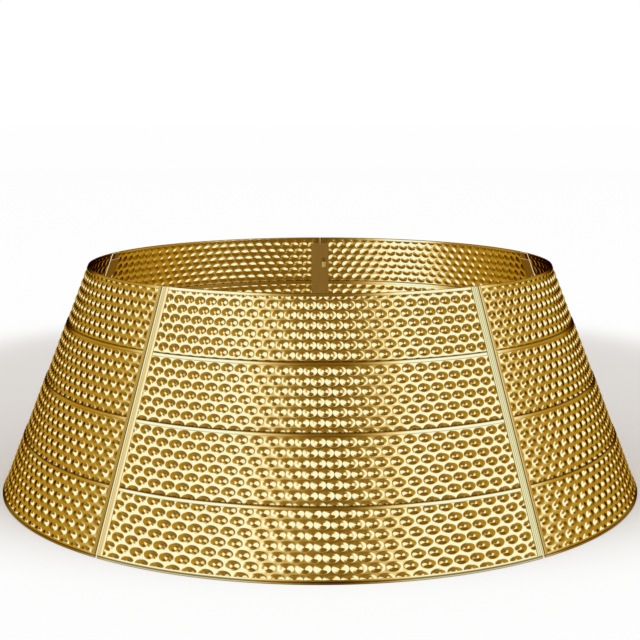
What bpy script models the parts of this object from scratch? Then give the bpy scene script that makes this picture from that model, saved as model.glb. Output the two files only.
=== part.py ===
"""Sheet-metal ring collar: five panels of embossed gold-coloured sheet in the shape of a cut-off cone.

Every panel has four curved tiers, one above the other. The folded hem along the top of a tier lies
outside the tier above. The side ends of the four tiers sit in two folded edge channels. Behind each
seam is a slotted joining strip, fixed to one panel. Hook tabs on the neighbour's channel hang in its
slots, so that a panel lifts straight up to come off.
"""

from math import asin, atan2, cos, hypot, pi, sin, tan

import bmesh
import bpy
from mathutils import Vector

MM = 0.001

# Overall shape, measured on the plain outer face of the sheet
base_radius = 381.0 * MM
top_radius = 279.0 * MM
height = 262.5 * MM
panel_names = ("front", "right", "rear_right", "rear_left", "left")
tier_names = ("bottom", "lower", "upper", "top")
tier_facets = 14

# Sheet and fits
tier_sheet = 0.5 * MM
channel_sheet = 0.8 * MM
strip_sheet = 0.8 * MM
seat_gap = 0.3 * MM
cut_overrun = 5.0 * MM

# Tiers. The bottom one is a little taller than the others, for its rolled rim
bottom_tier_extra = 1.5 * MM
hem_height = 3.0 * MM
hem_fold_gap = 0.3 * MM
hem_bends = 4
tier_lap = 6.0 * MM
rim_height = 3.8 * MM
rim_depth = 1.9 * MM
rim_corner = 0.5 * MM

# Edge channels
seam_half_gap = 0.25 * MM
hooked_leaf_width = 9.0 * MM
plain_leaf_width = 4.5 * MM
inner_leaf_width = 10.0 * MM

# Hook tabs, pressed out of a channel's inner leaf
hook_width = 5.0 * MM
hook_inset = 3.2 * MM
hook_length = 7.0 * MM
hook_play = 0.4 * MM
hook_tip = 0.4 * MM
hook_height_shares = (0.14, 0.5, 0.86)

# Slotted joining strips
strip_width = 25.0 * MM
strip_end_inset = 9.0 * MM
slot_play = 0.5 * MM

# Worked out from the sizes above
panel_angle = 2.0 * pi / len(panel_names)
lean = atan2(base_radius - top_radius, height)
slant = hypot(base_radius - top_radius, height)
tier_slant = (slant - bottom_tier_extra) / len(tier_names)
tier_flare = (seat_gap + tier_sheet) / tier_slant
half_facet = panel_angle / tier_facets / 2.0
hem_outer = seat_gap + 2.0 * tier_sheet + hem_fold_gap
sheet_inner = -tier_sheet - tier_flare * tier_lap
outer_leaf_low = max(hem_outer, rim_depth) + seat_gap
outer_leaf_mid = outer_leaf_low + channel_sheet / 2.0
inner_leaf_mid = sheet_inner - seat_gap - channel_sheet / 2.0
inner_leaf_back = inner_leaf_mid - channel_sheet / 2.0
end_inset = seam_half_gap + channel_sheet + seat_gap + (hem_outer - sheet_inner) * sin(half_facet)
end_angle = asin(end_inset / (top_radius + hem_outer))
tier_angle = panel_angle - 2.0 * end_angle
seam_turn = end_angle + half_facet
channel_low = rim_height * cos(lean) + seat_gap
strip_outer = inner_leaf_back / cos(lean) - inner_leaf_width * sin(seam_turn) - seat_gap
strip_mid = strip_outer - strip_sheet / cos(lean) / 2.0
finger_outer = strip_outer - strip_sheet / cos(lean) - hook_play
finger_inner = finger_outer - channel_sheet


def clear_scene():
    for old in list(bpy.data.objects):
        bpy.data.objects.remove(old, do_unlink=True)


def new_collection(name):
    collection = bpy.data.collections.new(name)
    bpy.context.scene.collection.children.link(collection)
    return collection


def metal(name, color, roughness):
    """A plain gold-coloured metal finish."""
    material = bpy.data.materials.new(name)
    material.use_nodes = True
    shader = material.node_tree.nodes["Principled BSDF"]
    shader.inputs["Base Color"].default_value = (*color, 1.0)
    shader.inputs["Metallic"].default_value = 1.0
    shader.inputs["Roughness"].default_value = roughness
    return material


def add_object(name, mesh, collection, material, parent):
    piece = bpy.data.objects.new(name, mesh)
    collection.objects.link(piece)
    if material:
        mesh.materials.clear()
        mesh.materials.append(material)
    piece.parent = parent
    return piece


def add_cutter(name, mesh, parent):
    cutter = add_object(name, mesh, cutters, None, parent)
    cutter.hide_render = True
    cutter.display_type = "WIRE"
    return cutter


def combine(piece, tool, operation):
    cut = piece.modifiers.new(operation.title() + " " + tool.name, "BOOLEAN")
    cut.operation = operation
    cut.solver = "EXACT"
    cut.object = tool


def radial(azimuth):
    """Outward level direction. Azimuth 0 is the front, towards -Y, and +X is at a quarter turn."""
    return Vector((sin(azimuth), -cos(azimuth), 0.0))


def wall_radius(z):
    return base_radius - z * tan(lean)


# Tiers


def wall_point(along, proud):
    """A profile point, along the slant from the floor and proud of the nominal outer face."""
    return Vector((base_radius - along * sin(lean) + proud * cos(lean), 0.0,
                   along * cos(lean) + proud * sin(lean)))


def floor_point(proud, rise):
    """A profile point at a height above the floor, proud of the nominal outer face."""
    return wall_point((rise - proud * sin(lean)) / cos(lean), proud)


def hem_points(top):
    """The folded top edge, from the sheet over the bend and down the outside."""
    bend_radius = (tier_sheet + hem_fold_gap) / 2.0
    sheet_mid = tier_flare * tier_slant - tier_sheet / 2.0
    bend_along = top - bend_radius - tier_sheet / 2.0
    points = []
    for step in range(hem_bends + 1):
        turn = pi * step / hem_bends
        points.append(wall_point(bend_along + bend_radius * sin(turn),
                                 sheet_mid + bend_radius * (1.0 - cos(turn))))
    points.append(wall_point(top - hem_height, sheet_mid + 2.0 * bend_radius))
    return points


def rim_points():
    """The rolled rim, from its free edge down the outside, along the floor and up to the sheet."""
    outside = rim_depth - tier_sheet / 2.0
    inside = -tier_sheet / 2.0
    floor_mid = tier_sheet / 2.0
    return [wall_point(rim_height, outside), floor_point(outside, floor_mid + rim_corner),
            floor_point(outside - rim_corner, floor_mid), floor_point(inside, floor_mid)]


def tier_top(level):
    """How far up the slant a tier's hem reaches."""
    return bottom_tier_extra + (level + 1) * tier_slant


def tier_mesh(level):
    """The middle line of one tier's sheet, seen from the side."""
    if level == 0:
        line = rim_points()
    else:
        foot = tier_top(level - 1) - tier_lap
        line = [wall_point(foot, -tier_sheet / 2.0 - tier_flare * tier_lap)]
    line += hem_points(tier_top(level))
    mesh = bpy.data.meshes.new(tier_names[level] + "_tier_line")
    mesh.from_pydata(line[::-1], [(i, i + 1) for i in range(len(line) - 1)], [])
    return mesh


def add_tier(panel, level, mesh, middle, parent):
    tier = add_object(f"{panel}_{tier_names[level]}_tier", mesh, collar, sheet_finish, parent)
    tier.rotation_euler.z = middle - pi / 2.0 - tier_angle / 2.0
    turn = tier.modifiers.new("Curve of the panel", "SCREW")
    turn.axis = "Z"
    turn.angle = tier_angle
    turn.screw_offset = 0.0
    turn.steps = tier_facets
    turn.render_steps = tier_facets
    turn.use_merge_vertices = False
    turn.merge_threshold = 0.00001
    turn.use_smooth_shade = True
    skin = tier.modifiers.new("Sheet", "SOLIDIFY")
    skin.thickness = tier_sheet
    skin.offset = 0.0
    skin.use_even_offset = True


# Edge channels and their hook tabs


class Edge:
    """One side edge of a panel, with level directions into the panel and out of its last facet."""

    def __init__(self, seam, side):
        facing = seam + side * seam_turn
        self.seam = seam
        self.into = side * radial(facing + pi / 2.0)
        self.out = radial(facing)

    def point(self, inward, proud, z):
        reach = wall_radius(z) * cos(half_facet) / cos(seam_turn)
        return radial(self.seam) * reach + self.into * inward + self.out * proud + Vector((0, 0, z))


def swept_mesh(name, section, path, closed):
    """A section of points moved along a path. An open section makes a bare surface."""
    build = bmesh.new()
    corners = [build.verts.new(point) for point in section]
    ends = corners + corners[:1] if closed else corners
    edges = [build.edges.new(pair) for pair in zip(ends, ends[1:])]
    if closed:
        parts = [build.faces.new(corners)]
        moved = bmesh.ops.extrude_face_region(build, geom=parts, use_keep_orig=True)["geom"]
    else:
        moved = bmesh.ops.extrude_edge_only(build, edges=edges)["geom"]
    bmesh.ops.translate(build, vec=path, verts=[v for v in moved if isinstance(v, bmesh.types.BMVert)])
    bmesh.ops.recalc_face_normals(build, faces=build.faces)
    mesh = bpy.data.meshes.new(name)
    build.to_mesh(mesh)
    build.free()
    return mesh


def joined_mesh(name, meshes):
    """Several separate shapes in one mesh."""
    build = bmesh.new()
    for mesh in meshes:
        build.from_mesh(mesh)
    joined = bpy.data.meshes.new(name)
    build.to_mesh(joined)
    build.free()
    return joined


def hook_heights():
    return [share * height for share in hook_height_shares]


def hook_shape(edge, z):
    """A tab that runs in from the inner leaf, through the slot, and down behind the strip."""
    root = inner_leaf_mid / cos(lean)
    rise = channel_sheet
    outline = [(root - rise * tan(lean), rise), (root, 0.0), (finger_outer, 0.0),
               (finger_outer, hook_tip - hook_length), (finger_outer - hook_tip, -hook_length),
               (finger_inner, -hook_length), (finger_inner, rise)]
    anchor = edge.point(hook_inset, 0.0, z)
    section = [anchor + edge.out * proud + Vector((0, 0, up)) for proud, up in outline]
    return swept_mesh("hook_tab", section, edge.into * hook_width, True)


def hook_window(edge, z):
    """The hole that the pressed-out tab leaves in the inner leaf below it, a punch's play wider."""
    high = z - seat_gap
    low = high - hook_length
    near = hook_inset - seat_gap
    width = hook_width + 2.0 * seat_gap
    back = inner_leaf_back / cos(lean) - cut_overrun
    front = (inner_leaf_mid + channel_sheet / 2.0) / cos(lean) + seat_gap
    section = [edge.point(near, back, high), edge.point(near, front, high),
               edge.point(near, front, low), edge.point(near, back, low)]
    return swept_mesh("hook_window", section, edge.into * width, True)


def add_channel(name, edge, hooked, parent):
    """A folded strip round the ends of the tiers, with or without hook tabs."""
    fold = seam_half_gap + channel_sheet / 2.0
    leaf = hooked_leaf_width if hooked else plain_leaf_width
    outer = outer_leaf_mid / cos(lean)
    inner = inner_leaf_mid / cos(lean)
    line = [(leaf, outer), (fold, outer), (fold, inner), (inner_leaf_width, inner)]
    section = [edge.point(inward, proud, channel_low) for inward, proud in line]
    run = edge.point(0.0, 0.0, height) - edge.point(0.0, 0.0, channel_low)
    mesh = swept_mesh(name, section, run, False)
    channel = add_object(name, mesh, collar, channel_finish, parent)
    skin = channel.modifiers.new("Sheet", "SOLIDIFY")
    skin.thickness = channel_sheet
    skin.offset = 0.0
    skin.use_even_offset = True
    if hooked:
        windows = joined_mesh(name + "_windows", [hook_window(edge, z) for z in hook_heights()])
        combine(channel, add_cutter(windows.name, windows, parent), "DIFFERENCE")
        tabs = joined_mesh(name + "_tabs", [hook_shape(edge, z) for z in hook_heights()])
        combine(channel, add_cutter(tabs.name, tabs, parent), "UNION")


# Slotted joining strips


def slot_shape(edge, z):
    """The hole that lets a tab in, and lets it out again as the panel is lifted."""
    low = z - seat_gap
    high = z + (strip_outer - finger_inner + slot_play) / tan(lean)
    width = hook_width + 2.0 * slot_play
    near = hook_inset - slot_play
    section = []
    for level in (low, high):
        back = finger_inner - cut_overrun
        front = strip_outer + cut_overrun
        section.append((edge.point(near, back, level), edge.point(near, front, level)))
    outline = [section[0][0], section[0][1], section[1][1], section[1][0]]
    return swept_mesh("slot", outline, edge.into * width, True)


def add_joining_strip(name, seam, hooked_edge, parent):
    low = strip_end_inset * cos(lean)
    high = height - low
    out = radial(seam)
    along = radial(seam + pi / 2.0)
    half = strip_width / 2.0

    def corner(side, z):
        return out * (wall_radius(z) + strip_mid) + along * half * side + Vector((0, 0, z))

    section = [corner(-1, low), corner(1, low)]
    mesh = swept_mesh(name, section, corner(-1, high) - corner(-1, low), False)
    strip = add_object(name, mesh, collar, strip_finish, parent)
    skin = strip.modifiers.new("Bar", "SOLIDIFY")
    skin.thickness = strip_sheet
    skin.offset = 0.0
    slots = joined_mesh(name + "_slots", [slot_shape(hooked_edge, z) for z in hook_heights()])
    combine(strip, add_cutter(slots.name, slots, parent), "DIFFERENCE")


clear_scene()
collar = new_collection("sheet_ring_collar")
cutters = new_collection("cutters")
sheet_finish = metal("embossed_gold_sheet", (0.80, 0.56, 0.16), 0.16)
channel_finish = metal("gold_edge_channel", (0.84, 0.62, 0.24), 0.2)
strip_finish = metal("gold_joining_strip", (0.70, 0.50, 0.18), 0.32)
tier_meshes = [tier_mesh(level) for level in range(len(tier_names))]

holders = {}
for number, panel in enumerate(panel_names):
    holder = bpy.data.objects.new(panel + "_panel", None)
    collar.objects.link(holder)
    holders[panel] = holder
    for level, mesh in enumerate(tier_meshes):
        add_tier(panel, level, mesh, number * panel_angle, holder)

# The front panel hangs on both neighbours and every other panel on the next one round.
# The left panel only carries.
for number, panel in enumerate(panel_names):
    follower = panel_names[(number + 1) % len(panel_names)]
    seam = (number + 0.5) * panel_angle
    last = number == len(panel_names) - 1
    near_edge = Edge(seam, -1)
    far_edge = Edge(seam, 1)
    add_channel(panel + "_right_channel", near_edge, not last, holders[panel])
    add_channel(follower + "_left_channel", far_edge, last, holders[follower])
    carrier, hung = (panel, follower) if last else (follower, panel)
    hooked_edge = far_edge if last else near_edge
    add_joining_strip(f"{carrier}_to_{hung}_joining_strip", seam, hooked_edge, holders[carrier])
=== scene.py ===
"""A ring collar of embossed gold-coloured sheet, dressed for a studio picture.

The collar is built up in the order in which it is made: the embossed tiers, the folded edge channels
that bind them into five panels, the slotted strips that join the panels, and then the studio.
"""

from math import atan2, cos, hypot, pi, radians, sin

import bpy
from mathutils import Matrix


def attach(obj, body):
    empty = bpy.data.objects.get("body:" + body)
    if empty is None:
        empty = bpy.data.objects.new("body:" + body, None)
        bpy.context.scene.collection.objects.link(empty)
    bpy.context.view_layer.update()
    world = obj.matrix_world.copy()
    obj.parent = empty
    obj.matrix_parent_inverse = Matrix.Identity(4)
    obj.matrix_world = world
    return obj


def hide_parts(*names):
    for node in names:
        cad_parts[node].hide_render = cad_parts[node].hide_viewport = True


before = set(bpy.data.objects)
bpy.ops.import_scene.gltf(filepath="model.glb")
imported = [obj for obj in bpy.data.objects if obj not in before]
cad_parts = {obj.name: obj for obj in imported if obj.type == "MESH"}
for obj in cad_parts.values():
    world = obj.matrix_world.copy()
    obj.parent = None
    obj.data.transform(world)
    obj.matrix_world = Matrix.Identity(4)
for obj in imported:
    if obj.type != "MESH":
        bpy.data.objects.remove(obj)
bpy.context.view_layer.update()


# Embossed tiers.
# Each panel is four bands of thin gold-plated steel, rolled between patterned rollers that press in rows
# of small oval bumps. The top edge is folded outward into a flat hem, which hides the foot of the band
# above, and the lowest band ends in a rolled rim that stands on the floor.

mm = 0.001
base_radius = 381.0 * mm
top_radius = 279.0 * mm
wall_height = 262.5 * mm
lean = atan2(base_radius - top_radius, wall_height)
bottom_extra = 1.5 * mm
tier_height = (hypot(base_radius - top_radius, wall_height) - bottom_extra) / 4
tier_flare = atan2(0.8 * mm, tier_height)
panel_turn = 2 * pi / 5
panels = ("front", "right", "rear_right", "rear_left", "left")

sheet = 0.5 * mm
lap = 6.0 * mm
hem = 3.0 * mm
hem_gap = 0.3 * mm
end_gap = radians(0.3)
cut_angle = panel_turn / 2 - end_gap

bump_pitch = radians(2.64) * base_radius
row_pitch = 10.2 * mm
bump_half_width = 0.49 * bump_pitch
bump_half_height = 0.485 * row_pitch
bump_rise = 1.2 * mm
bump_rings = (0.78, 0.52, 0.26)
bell_share, dome_share = 0.66, 0.34
pattern_depth = 2.65 * mm
weld_reach = 0.02 * mm
gold_tone = (1.0, 0.77, 0.34)


def let_go():
    """Nothing selected, so that the next tool acts on one piece only."""
    if bpy.context.object and bpy.context.object.mode != "OBJECT":
        bpy.ops.object.mode_set(mode="OBJECT")
    bpy.ops.object.select_all(action="DESELECT")


def take(piece):
    """One piece selected and active."""
    let_go()
    piece.select_set(True)
    bpy.context.view_layer.objects.active = piece


def pick(piece, wanted):
    """In edit mode, selects the vertices for which wanted(place) holds."""
    bpy.ops.object.mode_set(mode="OBJECT")
    mesh = piece.data
    mesh.polygons.foreach_set("select", [False] * len(mesh.polygons))
    mesh.edges.foreach_set("select", [False] * len(mesh.edges))
    for vertex in mesh.vertices:
        vertex.select = wanted(vertex.co)
    bpy.ops.object.mode_set(mode="EDIT")
    bpy.ops.mesh.select_mode(type="VERT")


def repeat(piece, count, step):
    """Lays copies side by side and welds them where they touch."""
    row = piece.modifiers.new("Repeat", "ARRAY")
    row.use_relative_offset = False
    row.use_constant_offset = True
    row.constant_offset_displace = step
    row.count = count
    row.use_merge_vertices = True
    row.merge_threshold = weld_reach
    bpy.ops.object.modifier_apply(modifier=row.name)


def cut(place, facing, clear=False):
    """Cuts the sheet in hand along a plane. With clear, the side that the plane faces is taken away."""
    bpy.ops.object.mode_set(mode="EDIT")
    bpy.ops.mesh.select_all(action="SELECT")
    bpy.ops.mesh.bisect(plane_co=place, plane_no=facing, clear_outer=clear, threshold=0.001 * mm)


def one_bump():
    """One bump in its patch of sheet, standing upright with its outside towards -Y."""
    let_go()
    bpy.ops.mesh.primitive_grid_add(x_subdivisions=4, y_subdivisions=4, size=1, rotation=(pi / 2, 0, 0))
    piece = bpy.context.object
    bpy.ops.object.transform_apply(location=True, rotation=True, scale=True)
    # The flat sheet round the bump: the patch without its middle, joined to an oval
    pick(piece, lambda at: abs(at.x) < 0.4 and abs(at.z) < 0.4)
    bpy.ops.mesh.delete(type="VERT")
    bpy.ops.mesh.select_all(action="SELECT")
    bpy.ops.transform.resize(value=(bump_pitch, 1, row_pitch))
    bpy.ops.mesh.select_all(action="DESELECT")
    bpy.ops.mesh.primitive_circle_add(vertices=16, radius=1, rotation=(pi / 2, 0, 0))
    bpy.ops.transform.resize(value=(bump_half_width, 1, bump_half_height))
    bpy.ops.mesh.select_all(action="SELECT")
    bpy.ops.mesh.bridge_edge_loops()
    # The bump: the oval drawn out in ever smaller rings and closed at the top
    low, size = 0.0, 1.0
    pick(piece, lambda at: hypot(at.x / bump_half_width, at.z / bump_half_height) < 1.01)
    for share in bump_rings:
        high = bump_rise * (1 + cos(pi * share)) / 2
        bpy.ops.mesh.extrude_edges_move(TRANSFORM_OT_translate={"value": (0, low - high, 0)})
        bpy.ops.transform.resize(value=(share / size, 1, share / size))
        low, size = high, share
    bpy.ops.mesh.edge_face_add()
    bpy.ops.mesh.poke()
    pick(piece, lambda at: hypot(at.x, at.z) < 0.01 * mm)
    bpy.ops.transform.translate(value=(0, low - bump_rise, 0))
    bpy.ops.mesh.select_all(action="SELECT")
    bpy.ops.mesh.normals_make_consistent(inside=False)
    bpy.ops.object.mode_set(mode="OBJECT")
    if sum(face.normal.y * face.area for face in piece.data.polygons) > 0:
        piece.data.flip_normals()
    patches = piece.data.uv_layers.active or piece.data.uv_layers.new(name="Bumps")
    patches.name = "Bumps"
    for loop, patch in zip(piece.data.loops, patches.data):
        at = piece.data.vertices[loop.vertex_index].co
        patch.uv = (at.x / bump_pitch + 0.5, at.z / row_pitch + 0.5)
    return piece


def embossed_blank():
    """A flat sheet of ten rows, alternate ones half a bump along. The top row is centred at height 0."""
    half_row, row_pairs = 15, 5
    piece = one_bump()
    take(piece)
    bpy.ops.object.mode_set(mode="EDIT")
    bpy.ops.mesh.select_all(action="SELECT")
    bpy.ops.transform.translate(value=(-half_row * bump_pitch, 0, 0))
    bpy.ops.object.mode_set(mode="OBJECT")
    repeat(piece, 2 * half_row + 1, (bump_pitch, 0, 0))
    bpy.ops.object.mode_set(mode="EDIT")
    bpy.ops.mesh.select_all(action="SELECT")
    bpy.ops.mesh.duplicate_move(TRANSFORM_OT_translate={"value": (bump_pitch / 2, 0, -row_pitch)})
    bpy.ops.mesh.select_all(action="SELECT")
    bpy.ops.mesh.remove_doubles(threshold=weld_reach)
    bpy.ops.object.mode_set(mode="OBJECT")
    repeat(piece, row_pairs, (0, 0, -2 * row_pitch))
    piece.name = "blank"
    return piece


def press_flat(piece, low, high):
    """Presses the bumps flat between two heights, and takes them out of the surface pattern there."""
    pick(piece, lambda at: low <= at.z <= high)
    bpy.ops.transform.resize(value=(1, 0, 1), center_override=(0, 0, 0))
    bpy.ops.object.mode_set(mode="OBJECT")
    patches = piece.data.uv_layers["Bumps"].data
    for face in piece.data.polygons:
        if low <= face.center.z <= high:
            for loop in face.loop_indices:
                patches[loop].uv = (0, 0)


def fold_on(steps):
    """Draws the selected edge on through a row of small moves."""
    for step in steps:
        bpy.ops.mesh.extrude_edges_move(TRANSFORM_OT_translate={"value": step})


def tier_form(name, level, first_row, shift):
    """One band, from a flat blank to the curved, hemmed sheet in its place at the front."""
    # Cut to size. The bumps end in a short slope, with a plain margin under the hem and at the foot
    low = level * tier_height + (bottom_extra if level else 0)
    tall = tier_height if level else tier_height + bottom_extra
    piece = blank.copy()
    piece.data = blank.data.copy()
    bpy.context.collection.objects.link(piece)
    piece.name = name
    take(piece)
    bpy.ops.object.mode_set(mode="EDIT")
    bpy.ops.mesh.select_all(action="SELECT")
    bpy.ops.transform.translate(value=(shift, 0, first_row + row_pitch - low))
    side = cut_angle * base_radius
    cut((side, 0, 0), (1, 0, 0), clear=True)
    cut((-side, 0, 0), (-1, 0, 0), clear=True)
    bend = sheet + hem_gap / 2
    cut((0, 0, tall - bend), (0, 0, 1), clear=True)
    foot = -lap if level else sheet
    cut((0, 0, foot), (0, 0, -1), clear=True)
    slope, leeway = 0.2 * mm, 0.05 * mm
    hem_line = tall - hem - 0.1 * mm
    foot_line = 0.2 * mm if level else 4.0 * mm
    for height in (hem_line, hem_line - slope, foot_line, foot_line + slope):
        cut((0, 0, height), (0, 0, 1))
    press_flat(piece, hem_line - leeway, tall)
    press_flat(piece, foot - leeway, foot_line + leeway)

    # The hem: the sheet goes over a tight bend and down the outside
    pick(piece, lambda at: at.z > tall - bend - 0.01 * mm)
    bend_steps = 6
    around = [(-hem_gap / 2 * (1 - cos(pi * n / bend_steps)), hem_gap / 2 * sin(pi * n / bend_steps))
              for n in range(bend_steps + 1)]
    fold_on([(0, b[0] - a[0], b[1] - a[1]) for a, b in zip(around, around[1:])])
    fold_on([(0, 0, -(hem - bend) / 2)] * 2 + [(0, hem_gap + sheet, -0.1 * mm)])

    # Leaned back, with the slight flare that lets the next band tuck in behind the hem
    bpy.ops.mesh.select_all(action="SELECT")
    bpy.ops.transform.rotate(value=lean - tier_flare, orient_axis="X", center_override=(0, 0, 0))
    bpy.ops.transform.translate(value=(0, low * sin(lean), low * cos(lean)))

    if level == 0:
        # The rim: out along the floor, round a corner and up the outside
        bpy.ops.object.mode_set(mode="OBJECT")
        floor_line = min(vertex.co.z for vertex in piece.data.vertices)
        pick(piece, lambda at: at.z < floor_line + 0.01 * mm)
        bpy.ops.transform.translate(value=(0, 0, sheet - floor_line))
        rim_width, half_rise = 1.1 * mm / cos(lean), 1.6 * mm
        rounded_corner = (0, -0.15 * mm, 0.12 * mm)
        up_the_wall = (0, half_rise * sin(lean), half_rise * cos(lean))
        fold_on([(0, -rim_width, 0), rounded_corner, up_the_wall, up_the_wall])
    bpy.ops.object.mode_set(mode="OBJECT")

    # Rolled to the curve of the ring
    roll = piece.modifiers.new("Roll", "SIMPLE_DEFORM")
    roll.deform_method = "BEND"
    roll.deform_axis = "Z"
    places = [vertex.co.x for vertex in piece.data.vertices]
    roll.angle = (max(places) - min(places)) / base_radius
    bpy.ops.object.modifier_apply(modifier=roll.name)
    bpy.ops.object.mode_set(mode="EDIT")
    bpy.ops.mesh.select_all(action="SELECT")
    bpy.ops.transform.translate(value=(0, -base_radius, 0))
    bpy.ops.object.mode_set(mode="OBJECT")

    # The thickness of the sheet, on its inside
    skin = piece.modifiers.new("Thickness", "SOLIDIFY")
    skin.thickness = sheet
    skin.offset = -1
    skin.use_even_offset = True
    bpy.ops.object.modifier_apply(modifier=skin.name)
    bpy.ops.object.shade_smooth_by_angle(angle=radians(42))
    return piece


def node(tree, kind, place, **values):
    """Adds a shader node and sets its fields and its unlinked sockets."""
    made = tree.nodes.new(kind)
    made.location = place
    for key, value in values.items():
        if hasattr(made, key):
            setattr(made, key, value)
        else:
            made.inputs[key.replace("_", " ")].default_value = value
    return made


def group(name, inputs, outputs):
    """An empty shader node group with its sockets."""
    tree = bpy.data.node_groups.new(name, "ShaderNodeTree")
    for label, kind, start in inputs:
        tree.interface.new_socket(label, in_out="INPUT", socket_type=kind).default_value = start
    for label, kind in outputs:
        tree.interface.new_socket(label, in_out="OUTPUT", socket_type=kind)
    return tree, tree.nodes.new("NodeGroupInput"), tree.nodes.new("NodeGroupOutput")


def math(tree, operation, first, second=None):
    """A Math node. Each side is a number or a socket."""
    made = tree.nodes.new("ShaderNodeMath")
    made.operation = operation
    for socket, value in zip(made.inputs, (first, second)):
        if value is None:
            continue
        if isinstance(value, (int, float)):
            socket.default_value = value
        else:
            tree.links.new(value, socket)
    return made.outputs[0]


# The rolled relief, read from the sheet's own pattern map: 1 at the top of a bump and 0 between bumps
relief, relief_in, relief_out = group(
    "rolled_relief", [("Half Width", "NodeSocketFloat", bump_half_width / bump_pitch),
                      ("Half Height", "NodeSocketFloat", bump_half_height / row_pitch)],
    [("Height", "NodeSocketFloat")])
pattern_map = node(relief, "ShaderNodeUVMap", (-900, 0), uv_map="Bumps")
parts = node(relief, "ShaderNodeSeparateXYZ", (-700, 0))
relief.links.new(pattern_map.outputs[0], parts.inputs[0])
across = math(relief, "DIVIDE", math(relief, "SUBTRACT", parts.outputs[0], 0.5), relief_in.outputs[0])
up = math(relief, "DIVIDE", math(relief, "SUBTRACT", parts.outputs[1], 0.5), relief_in.outputs[1])
reach = math(relief, "SQRT", math(relief, "ADD", math(relief, "MULTIPLY", across, across),
                                  math(relief, "MULTIPLY", up, up)))
wave = math(relief, "COSINE", math(relief, "MULTIPLY", math(relief, "MINIMUM", reach, 1.0), pi))
bell = math(relief, "MULTIPLY", math(relief, "ADD", wave, 1.0), 0.5)
dome = math(relief, "MAXIMUM", math(relief, "SUBTRACT", 1.0, math(relief, "MULTIPLY", reach, reach)), 0.0)
height = math(relief, "ADD", math(relief, "MULTIPLY", bell, bell_share),
              math(relief, "MULTIPLY", dome, dome_share))
relief.links.new(height, relief_out.inputs[0])

# The plated finish: a faint cloudiness in colour and gloss, and a very slight unevenness of the sheet
plating, plating_in, plating_out = group(
    "gold_plating", [("Gold", "NodeSocketColor", (*gold_tone, 1)), ("Polish", "NodeSocketFloat", 0.1)],
    [("Color", "NodeSocketColor"), ("Roughness", "NodeSocketFloat"), ("Unevenness", "NodeSocketFloat")])
where = node(plating, "ShaderNodeTexCoord", (-1100, 0))
cloud = node(plating, "ShaderNodeTexNoise", (-900, 100), Scale=22.0, Detail=3.0, Roughness=0.55)
fine = node(plating, "ShaderNodeTexNoise", (-900, -150), Scale=900.0, Detail=2.0, Roughness=0.6)
plating.links.new(where.outputs["Object"], cloud.inputs["Vector"])
plating.links.new(where.outputs["Object"], fine.inputs["Vector"])
warm = node(plating, "ShaderNodeMix", (-500, 200), data_type="RGBA", blend_type="MULTIPLY")
warm.inputs["Factor"].default_value = 1.0
tint = node(plating, "ShaderNodeMapRange", (-700, 200))
tint.inputs["To Min"].default_value = 0.94
tint.inputs["To Max"].default_value = 1.04
plating.links.new(cloud.outputs[0], tint.inputs[0])
plating.links.new(plating_in.outputs[0], warm.inputs["A"])
plating.links.new(tint.outputs[0], warm.inputs["B"])
plating.links.new(warm.outputs["Result"], plating_out.inputs[0])
least_gloss, gloss_spread = 0.7, 0.6
gloss = math(plating, "MULTIPLY", plating_in.outputs[1], math(
    plating, "ADD", least_gloss, math(plating, "MULTIPLY", fine.outputs[0], gloss_spread)))
plating.links.new(gloss, plating_out.inputs[1])
plating.links.new(cloud.outputs[0], plating_out.inputs[2])


def place_on_ring(tree):
    """A point's place across, back and up, and its distance from the ring's axis."""
    place = node(tree, "ShaderNodeTexCoord", (-1600, 0))
    parts = node(tree, "ShaderNodeSeparateXYZ", (-1400, 100))
    level = node(tree, "ShaderNodeVectorMath", (-1400, -100), operation="MULTIPLY")
    level.inputs[1].default_value = (1, 1, 0)
    away = node(tree, "ShaderNodeVectorMath", (-1200, -100), operation="LENGTH")
    tree.links.new(place.outputs["Object"], parts.inputs[0])
    tree.links.new(place.outputs["Object"], level.inputs[0])
    tree.links.new(level.outputs[0], away.inputs[0])
    return (*parts.outputs, away.outputs["Value"])


def line_at(tree, value, middle, half_width):
    """1 on a thin line, fading out to both sides between 0.6 and 1.4 of its half width."""
    made = tree.nodes.new("ShaderNodeMapRange")
    made.interpolation_type = "SMOOTHSTEP"
    made.inputs["From Min"].default_value = half_width * 1.4
    made.inputs["From Max"].default_value = half_width * 0.6
    tree.links.new(math(tree, "ABSOLUTE", math(tree, "SUBTRACT", value, middle)), made.inputs["Value"])
    return made.outputs[0]


# Painted shade along the hems: a dark line painted where a band tucks in behind the hem, a fainter one
# painted under the hem's edge, and one painted under the rim
painted_hem_shade, hem_in, hem_out = group(
    "painted_hem_shade", [("Lower Line", "NodeSocketFloat", 0.35), ("Rim Line", "NodeSocketFloat", 0.75)],
    [("Painted Shade", "NodeSocketFloat")])
_, _, above_floor, away = place_on_ring(painted_hem_shade)
slant = math(painted_hem_shade, "ADD", math(painted_hem_shade, "MULTIPLY", above_floor, cos(lean)), math(
    painted_hem_shade, "MULTIPLY", math(painted_hem_shade, "SUBTRACT", base_radius, away), sin(lean)))
margin = 1.5 * mm       # a band's lines are placed from this far below its foot
in_tier = math(painted_hem_shade, "FLOORED_MODULO", math(
    painted_hem_shade, "SUBTRACT", slant, bottom_extra - margin), tier_height)
crevice_shade = line_at(painted_hem_shade, in_tier, margin + 0.3 * mm, 0.95 * mm)
edge = line_at(painted_hem_shade, in_tier, tier_height - hem + margin - 0.4 * mm, 0.45 * mm)
under_edge_shade = math(painted_hem_shade, "MULTIPLY", edge, hem_in.outputs["Lower Line"])
rim = line_at(painted_hem_shade, slant, -0.1 * mm, 0.7 * mm)
under_rim_shade = math(painted_hem_shade, "MULTIPLY", rim, hem_in.outputs["Rim Line"])
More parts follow.
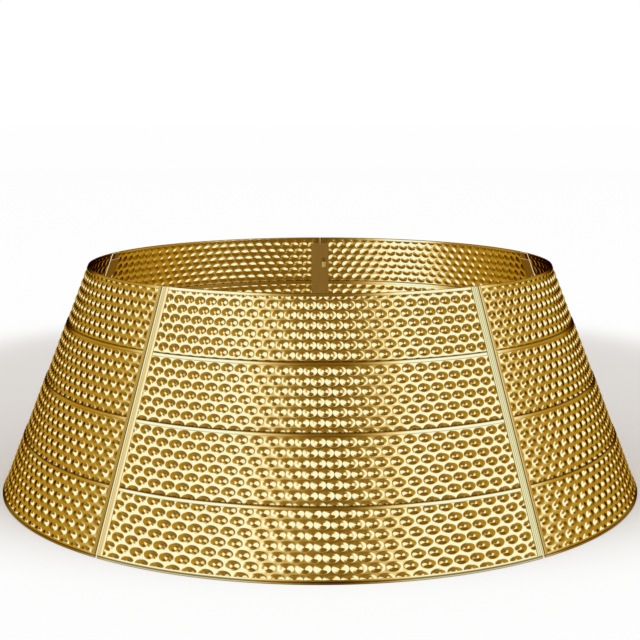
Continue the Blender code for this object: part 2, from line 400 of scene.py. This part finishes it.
painted_hem_shade.links.new(math(painted_hem_shade, "MAXIMUM", under_rim_shade, math(
    painted_hem_shade, "MAXIMUM", crevice_shade, under_edge_shade)), hem_out.inputs[0])


def gold(name, color, polish, relief_depth=0.0, unevenness=0.0, marks=()):
    """A plated sheet finish. relief_depth adds the rolled pattern.

    Each mark is a group that draws it, the group's output, and the mark's colour.
    """
    material = bpy.data.materials.new(name)
    material.use_nodes = True
    tree = material.node_tree
    shader = tree.nodes["Principled BSDF"]
    shader.inputs["Metallic"].default_value = 1.0
    coat = node(tree, "ShaderNodeGroup", (-600, 200), node_tree=plating)
    coat.inputs["Gold"].default_value = (*color, 1)
    coat.inputs["Polish"].default_value = polish
    surface_color = coat.outputs["Color"]
    for pattern, output, mark_color in marks:
        drawn = node(tree, "ShaderNodeGroup", (-800, 500), node_tree=pattern)
        marked = node(tree, "ShaderNodeMix", (-300, 400), data_type="RGBA")
        marked.inputs["B"].default_value = (*mark_color, 1)
        tree.links.new(drawn.outputs[output], marked.inputs["Factor"])
        tree.links.new(surface_color, marked.inputs["A"])
        surface_color = marked.outputs["Result"]
    tree.links.new(surface_color, shader.inputs["Base Color"])
    tree.links.new(coat.outputs["Roughness"], shader.inputs["Roughness"])
    uneven = node(tree, "ShaderNodeBump", (-300, -200))
    uneven.inputs["Distance"].default_value = unevenness
    tree.links.new(coat.outputs["Unevenness"], uneven.inputs["Height"])
    last = uneven
    if relief_depth:
        raised = node(tree, "ShaderNodeGroup", (-600, -400), node_tree=relief)
        bumps = node(tree, "ShaderNodeBump", (-100, -300))
        bumps.inputs["Distance"].default_value = relief_depth
        tree.links.new(raised.outputs["Height"], bumps.inputs["Height"])
        tree.links.new(uneven.outputs[0], bumps.inputs["Normal"])
        last = bumps
    tree.links.new(last.outputs[0], shader.inputs["Normal"])
    return material


# The hem lines darken the base colour as painted shade in the hem crevices and under the rim
sheet_finish = gold("embossed_gold_sheet", gold_tone, 0.08, relief_depth=pattern_depth,
                    unevenness=0.3 * mm, marks=((painted_hem_shade, "Painted Shade", (0.26, 0.14, 0.025)),))

blank = embossed_blank()
# Where the top row of bumps is centred along the slant, whether it is the staggered one, and by how many
# degrees the pattern lies to one side
tier_rows = {"bottom": (65.1 * mm, 0.5, 0.32), "lower": (132.9 * mm, 0.0, -0.28),
             "upper": (202.8 * mm, 0.5, -0.44), "top": (279.7 * mm, 0.0, -0.67)}
for level, (tier, (first_row, stagger, turn)) in enumerate(tier_rows.items()):
    shift = (0.5 - stagger) * bump_pitch + radians(turn) * base_radius
    form = tier_form(tier + "_form", level, first_row, shift)
    form.data.materials.clear()
    form.data.materials.append(sheet_finish)
    for number, panel in enumerate(panels):
        take(form)
        bpy.ops.object.duplicate()
        piece = bpy.context.object
        piece.name = f"{panel}_{tier}_embossed"
        piece.rotation_euler.z = number * panel_turn
        bpy.ops.object.transform_apply(location=True, rotation=True, scale=True)
        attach(piece, panel + "_panel")
        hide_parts(f"{panel}_{tier}_tier")
        piece.visible_glossy = False
    bpy.data.objects.remove(form)
bpy.data.objects.remove(blank)


# Edge channels.
# Strips of the same plated sheet folded to a U and pressed over the side ends of the four tiers. The folding
# rollers leave fine lines along the right-hand channels; along the left-hand ones the shade of a crease and a
# bevel is painted in.

edge_lines_and_shade, _, edge_out = group("edge_lines_and_shade", [], [
    ("Groove Shade", "NodeSocketFloat"), ("Bevel", "NodeSocketFloat"), ("Roller Lines", "NodeSocketFloat")])
# The marks across a seam, by the distance past its middle: painted shade in the groove between two channels,
# painted shade of a crease and a bevel on the left-hand channel, and roller lines on the right-hand one
to_right, to_back, _, away = place_on_ring(edge_lines_and_shade)
turned = math(edge_lines_and_shade, "ARCTAN2", to_right, math(edge_lines_and_shade, "MULTIPLY", to_back, -1.0))
past_seam = math(edge_lines_and_shade, "MULTIPLY", away, math(
    edge_lines_and_shade, "SUBTRACT", math(edge_lines_and_shade, "FLOORED_MODULO", turned, panel_turn), panel_turn / 2))
groove_shade = line_at(edge_lines_and_shade, past_seam, 0.0, 1.0 * mm)
crease_shade = line_at(edge_lines_and_shade, past_seam, 2.9 * mm, 0.5 * mm)
edge_lines_and_shade.links.new(math(edge_lines_and_shade, "MAXIMUM", groove_shade, math(edge_lines_and_shade, "MULTIPLY", crease_shade, 0.8)),
                     edge_out.inputs["Groove Shade"])
bevel_shade = line_at(edge_lines_and_shade, past_seam, 5.4 * mm, 1.6 * mm)
edge_lines_and_shade.links.new(math(edge_lines_and_shade, "MULTIPLY", bevel_shade, 0.75), edge_out.inputs["Bevel"])
line_spacing = 2.3 * mm
waves = math(edge_lines_and_shade, "COSINE", math(edge_lines_and_shade, "MULTIPLY", past_seam, 2 * pi / line_spacing))
line_strength = math(edge_lines_and_shade, "ADD", math(edge_lines_and_shade, "MULTIPLY", waves, 0.45), 0.5)
right_hand = math(edge_lines_and_shade, "LESS_THAN", past_seam, -0.9 * mm)
edge_lines_and_shade.links.new(math(edge_lines_and_shade, "MULTIPLY", right_hand, line_strength), edge_out.inputs["Roller Lines"])

# The groove, crease and bevel colours are painted shade; the roller lines are marks in the plating
channel_finish = gold("edge_channel_gold", gold_tone, 0.16, unevenness=0.2 * mm, marks=(
    (edge_lines_and_shade, "Roller Lines", (0.45, 0.32, 0.08)), (edge_lines_and_shade, "Bevel", (0.72, 0.36, 0.07)),
    (edge_lines_and_shade, "Groove Shade", (0.32, 0.2, 0.05))))
for name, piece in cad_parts.items():
    if name.endswith("_channel"):
        piece.data.materials.clear()
        piece.data.materials.append(channel_finish)
        piece.visible_glossy = False


# Slotted joining strips.
# Flat bars of the same steel with a satin plating, one behind each seam. They are punched with slots for the
# neighbour's hook tabs and spot-welded to the panel that carries it.

strip_finish = gold("joining_strip_gold", (0.9, 0.68, 0.3), 0.3, unevenness=0.2 * mm)
for name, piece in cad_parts.items():
    if name.endswith("_joining_strip"):
        piece.data.materials.clear()
        piece.data.materials.append(strip_finish)
        piece.visible_glossy = False


# The studio.
# A wide pale floor with a painted shadow patch, and a tent round the collar that is a painted reflection:
# a glowing sphere that paints two tall bright lamp bands left and right, a third at the back, and dark warm
# cloth between them. The tent shows only in the shine of the metal, where it stands in front of the white
# backdrop.


def shade(name):
    """A new material with no nodes but its output, for a stage piece."""
    finish = bpy.data.materials.new(name)
    finish.use_nodes = True
    finish.node_tree.nodes.clear()
    return finish, finish.node_tree, node(finish.node_tree, "ShaderNodeOutputMaterial", (900, 0))


def soft_step(tree, value, start, end, low=0.0, high=1.0):
    """Goes smoothly from low to high as the value goes from start to end."""
    made = tree.nodes.new("ShaderNodeMapRange")
    made.interpolation_type = "SMOOTHSTEP"
    for label, number in (("From Min", start), ("From Max", end), ("To Min", low), ("To Max", high)):
        made.inputs[label].default_value = number
    tree.links.new(value, made.inputs["Value"])
    return made.outputs[0]


let_go()
bpy.ops.mesh.primitive_plane_add(size=60)
floor = bpy.context.object
floor.name = "floor"
floor.visible_glossy = False
floor_finish, tree, surface = shade("floor_paper")
where = node(tree, "ShaderNodeTexCoord", (-1400, 0))
patch = node(tree, "ShaderNodeVectorMath", (-1200, 0), operation="DISTANCE")
patch.inputs[1].default_value = (0, 0.45, 0)    # a painted shadow, a greyer patch on the paper, lies round here
tree.links.new(where.outputs["Object"], patch.inputs[0])
# Inside the patch the paper is greyed as a painted shadow; outside it keeps its own near-white
paper_and_painted_shadow = node(tree, "ShaderNodeMix", (-400, 100), data_type="RGBA")
paper_and_painted_shadow.inputs["A"].default_value = (0.78, 0.75, 0.73, 1)
paper_and_painted_shadow.inputs["B"].default_value = (0.98, 0.975, 0.97, 1)
tree.links.new(soft_step(tree, patch.outputs["Value"], 0.55, 0.95), paper_and_painted_shadow.inputs["Factor"])
paper = node(tree, "ShaderNodeBsdfPrincipled", (-100, 100), Roughness=0.9)
tree.links.new(paper_and_painted_shadow.outputs["Result"], paper.inputs["Base Color"])
white = node(tree, "ShaderNodeEmission", (-100, -300), Strength=1.0)
path = node(tree, "ShaderNodeLightPath", (-600, -300))
# Seen by the camera, the paper turns nearly white round the painted shadow patch, and keeps a trace of the
# shadow
washed_out = math(tree, "MULTIPLY", path.outputs["Is Camera Ray"],
                  soft_step(tree, patch.outputs["Value"], 0.66, 0.88, 0.0, 0.88))
either = node(tree, "ShaderNodeMixShader", (400, 0))
tree.links.new(washed_out, either.inputs[0])
tree.links.new(paper.outputs[0], either.inputs[1])
tree.links.new(white.outputs[0], either.inputs[2])
tree.links.new(either.outputs[0], surface.inputs[0])
floor.data.materials.append(floor_finish)

let_go()
# The tent is a painted reflection: a glowing sphere seen only in the shine of the metal
bpy.ops.mesh.primitive_uv_sphere_add(segments=64, ring_count=32, radius=8)
tent = bpy.context.object
tent.name = "painted_reflection_tent"
bpy.ops.object.shade_smooth()
tent.visible_camera = False
tent.visible_diffuse = False
tent.visible_shadow = False
tent.visible_transmission = False
tent_finish, tree, surface = shade("painted_reflection_cloth")
where = node(tree, "ShaderNodeTexCoord", (-1800, 0))
toward = node(tree, "ShaderNodeVectorMath", (-1600, 0), operation="NORMALIZE")
tree.links.new(where.outputs["Object"], toward.inputs[0])
axes = node(tree, "ShaderNodeSeparateXYZ", (-1400, 0))
tree.links.new(toward.outputs[0], axes.inputs[0])
to_right, back, up = axes.outputs

# The painted reflection of unlit cloth: darkest behind the camera and straight behind the collar, ochre at the
# sides
painted_cloth_tone = node(tree, "ShaderNodeFloatCurve", (-1000, 300))
tree.links.new(math(tree, "MULTIPLY", math(tree, "ADD", back, 1.0), 0.5), painted_cloth_tone.inputs["Value"])
tone_line = painted_cloth_tone.mapping.curves[0]
for point, place in zip(tone_line.points, ((0.0, 0.17), (1.0, 0.01))):
    point.location = place
for place in ((0.06, 0.18), (0.3, 0.34), (0.5, 0.47), (0.65, 0.41), (0.77, 0.42), (0.82, 0.39),
              (0.86, 0.27), (0.9, 0.12), (0.94, 0.03)):
    tone_line.points.new(*place)
painted_cloth_tone.mapping.update()
tone = painted_cloth_tone.outputs[0]


def blend_to(tree, tone, other, share):
    """A tone that goes over into another by a share."""
    gap = math(tree, "SUBTRACT", other, tone)
    return math(tree, "ADD", tone, math(tree, "MULTIPLY", gap, share))


def all_of(tree, first, *others):
    """Where all of some soft steps hold."""
    for other in others:
        first = math(tree, "MULTIPLY", first, other)
    return first


# Painted reflection of even, dark cloth overhead and near the floor
overhead_tone, low_tone = 0.24, 0.19
tone = blend_to(tree, tone, overhead_tone, soft_step(tree, up, 0.5, 0.85))
tone = blend_to(tree, tone, low_tone, soft_step(tree, up, -0.45, -0.8))
# A painted lamp at the back, and a painted glow round it, both behind and above the collar
glow_tone, painted_back_lamp_tone = 0.45, 1.0
glow = all_of(tree, soft_step(tree, back, 0.55, 0.8), soft_step(tree, up, 0.15, 0.4))
painted_back_lamp = all_of(tree, soft_step(tree, back, 0.8, 0.9), soft_step(tree, up, 0.25, 0.4))
tone = blend_to(tree, tone, glow_tone, glow)
tone = blend_to(tree, tone, painted_back_lamp_tone, painted_back_lamp)

# The painted lamp bands at the sides. Each is a tall bright band painted on its wall between two slanted
# edges, with a low and a high end. Towards its ends the inner edge draws back, and low down the outer edge
# spreads a bit.
painted_lamp_bands = (
    dict(side=-1, outer_edge=(0.57, 0.22), inner_edge=(-0.86, -0.33), low_end=(-0.97, -0.8),
         high_end=(0.9, 0.6), low_narrowing=0.66, high_narrowing=0.38, low_spread=0.12),
    dict(side=1, outer_edge=(0.61, 0.28), inner_edge=(-0.745, -0.22), low_end=(-0.75, -0.45),
         high_end=(0.97, 0.8), low_narrowing=0.45, high_narrowing=0.25, low_spread=0.0))
band_turn, band_tilt, painted_lamp_tone = radians(139), radians(-15), 1.4
for painted_band in painted_lamp_bands:
    side = painted_band["side"]
    facing = node(tree, "ShaderNodeVectorMath", (-1200, -300 * side), operation="DOT_PRODUCT")
    facing.inputs[1].default_value = (side * sin(band_turn) * cos(band_tilt),
                                      -cos(band_turn) * cos(band_tilt), sin(band_tilt))
    tree.links.new(toward.outputs[0], facing.inputs[0])
    narrowing = math(tree, "ADD", soft_step(tree, up, 0.3, 0.85, 0.0, painted_band["high_narrowing"]),
                     soft_step(tree, up, -0.2, -0.75, 0.0, painted_band["low_narrowing"]))
    narrowed = math(tree, "SUBTRACT", facing.outputs["Value"], narrowing)
    spread = math(tree, "SUBTRACT", facing.outputs["Value"],
                  soft_step(tree, up, -0.1, -0.7, 0.0, painted_band["low_spread"]))
    own_side = soft_step(tree, math(tree, "MULTIPLY", to_right, side), -0.5, -0.2)
    band = all_of(tree, soft_step(tree, spread, *painted_band["outer_edge"]),
                  soft_step(tree, narrowed, *painted_band["inner_edge"]), soft_step(tree, up, *painted_band["low_end"]),
                  soft_step(tree, up, *painted_band["high_end"]), soft_step(tree, back, 0.5, 0.15), own_side)
    tone = blend_to(tree, tone, painted_lamp_tone, band)

# The painted reflection is warmer where it is darker, and most of all at the sides. For each colour: how fast
# it fades in front and at the sides, and how bright it gets at most.
light = node(tree, "ShaderNodeCombineColor", (400, 0))
at_side = all_of(tree, soft_step(tree, back, -0.2, 0.1), soft_step(tree, up, 0.8, 0.45))
fading = {"Red": (1.0, 1.0, 0.975), "Green": (1.3, 1.45, 1.24), "Blue": (2.4, 3.7, 1.84)}
for color, (in_front, at_sides, most) in fading.items():
    depth = blend_to(tree, in_front, at_sides, at_side)
    tree.links.new(math(tree, "MINIMUM", math(tree, "POWER", tone, depth), most), light.inputs[color])
lit = node(tree, "ShaderNodeEmission", (600, 0), Strength=1.0)
tree.links.new(light.outputs[0], lit.inputs["Color"])
tree.links.new(lit.outputs[0], surface.inputs[0])
tent.data.materials.append(tent_finish)

# The white backdrop, as the camera and the shine see it, and the soft white light all round
world = bpy.data.worlds.new("studio")
bpy.context.scene.world = world
world.use_nodes = True
tree = world.node_tree
tree.nodes.clear()
light_path = node(tree, "ShaderNodeLightPath", (-600, 200))
seen = math(tree, "MAXIMUM", light_path.outputs["Is Camera Ray"], math(
    tree, "MAXIMUM", light_path.outputs["Is Glossy Ray"], light_path.outputs["Is Transmission Ray"]))
backdrop = node(tree, "ShaderNodeBackground", (-200, 0), Strength=1.0)
backdrop.inputs["Color"].default_value = (1, 1, 1, 1)
soft_light = node(tree, "ShaderNodeBackground", (-200, -200), Strength=0.95)
soft_light.inputs["Color"].default_value = (1, 1, 1, 1)
either = node(tree, "ShaderNodeMixShader", (0, 0))
tree.links.new(seen, either.inputs[0])
tree.links.new(soft_light.outputs[0], either.inputs[1])
tree.links.new(backdrop.outputs[0], either.inputs[2])
result = node(tree, "ShaderNodeOutputWorld", (200, 0))
tree.links.new(either.outputs[0], result.inputs[0])

# The camera, at the photograph's distance, height and tilt. Picture sizes are in pixels.
picture_side = 640
middle_row = 200        # the row that lies straight ahead of the lens
focal_length = 1277.9
camera_distance, camera_height, camera_tilt = 1.56, 0.4492, radians(4.105)
let_go()
bpy.ops.object.camera_add(location=(0, -camera_distance, camera_height), rotation=(pi / 2 - camera_tilt, 0, 0))
camera = bpy.context.object
camera.data.sensor_width = 36
camera.data.lens = focal_length / picture_side * camera.data.sensor_width
camera.data.shift_y = (middle_row - picture_side / 2) / picture_side
camera.data.clip_start = 0.05
bpy.context.scene.camera = camera
bpy.context.scene.view_settings.view_transform = "Standard"
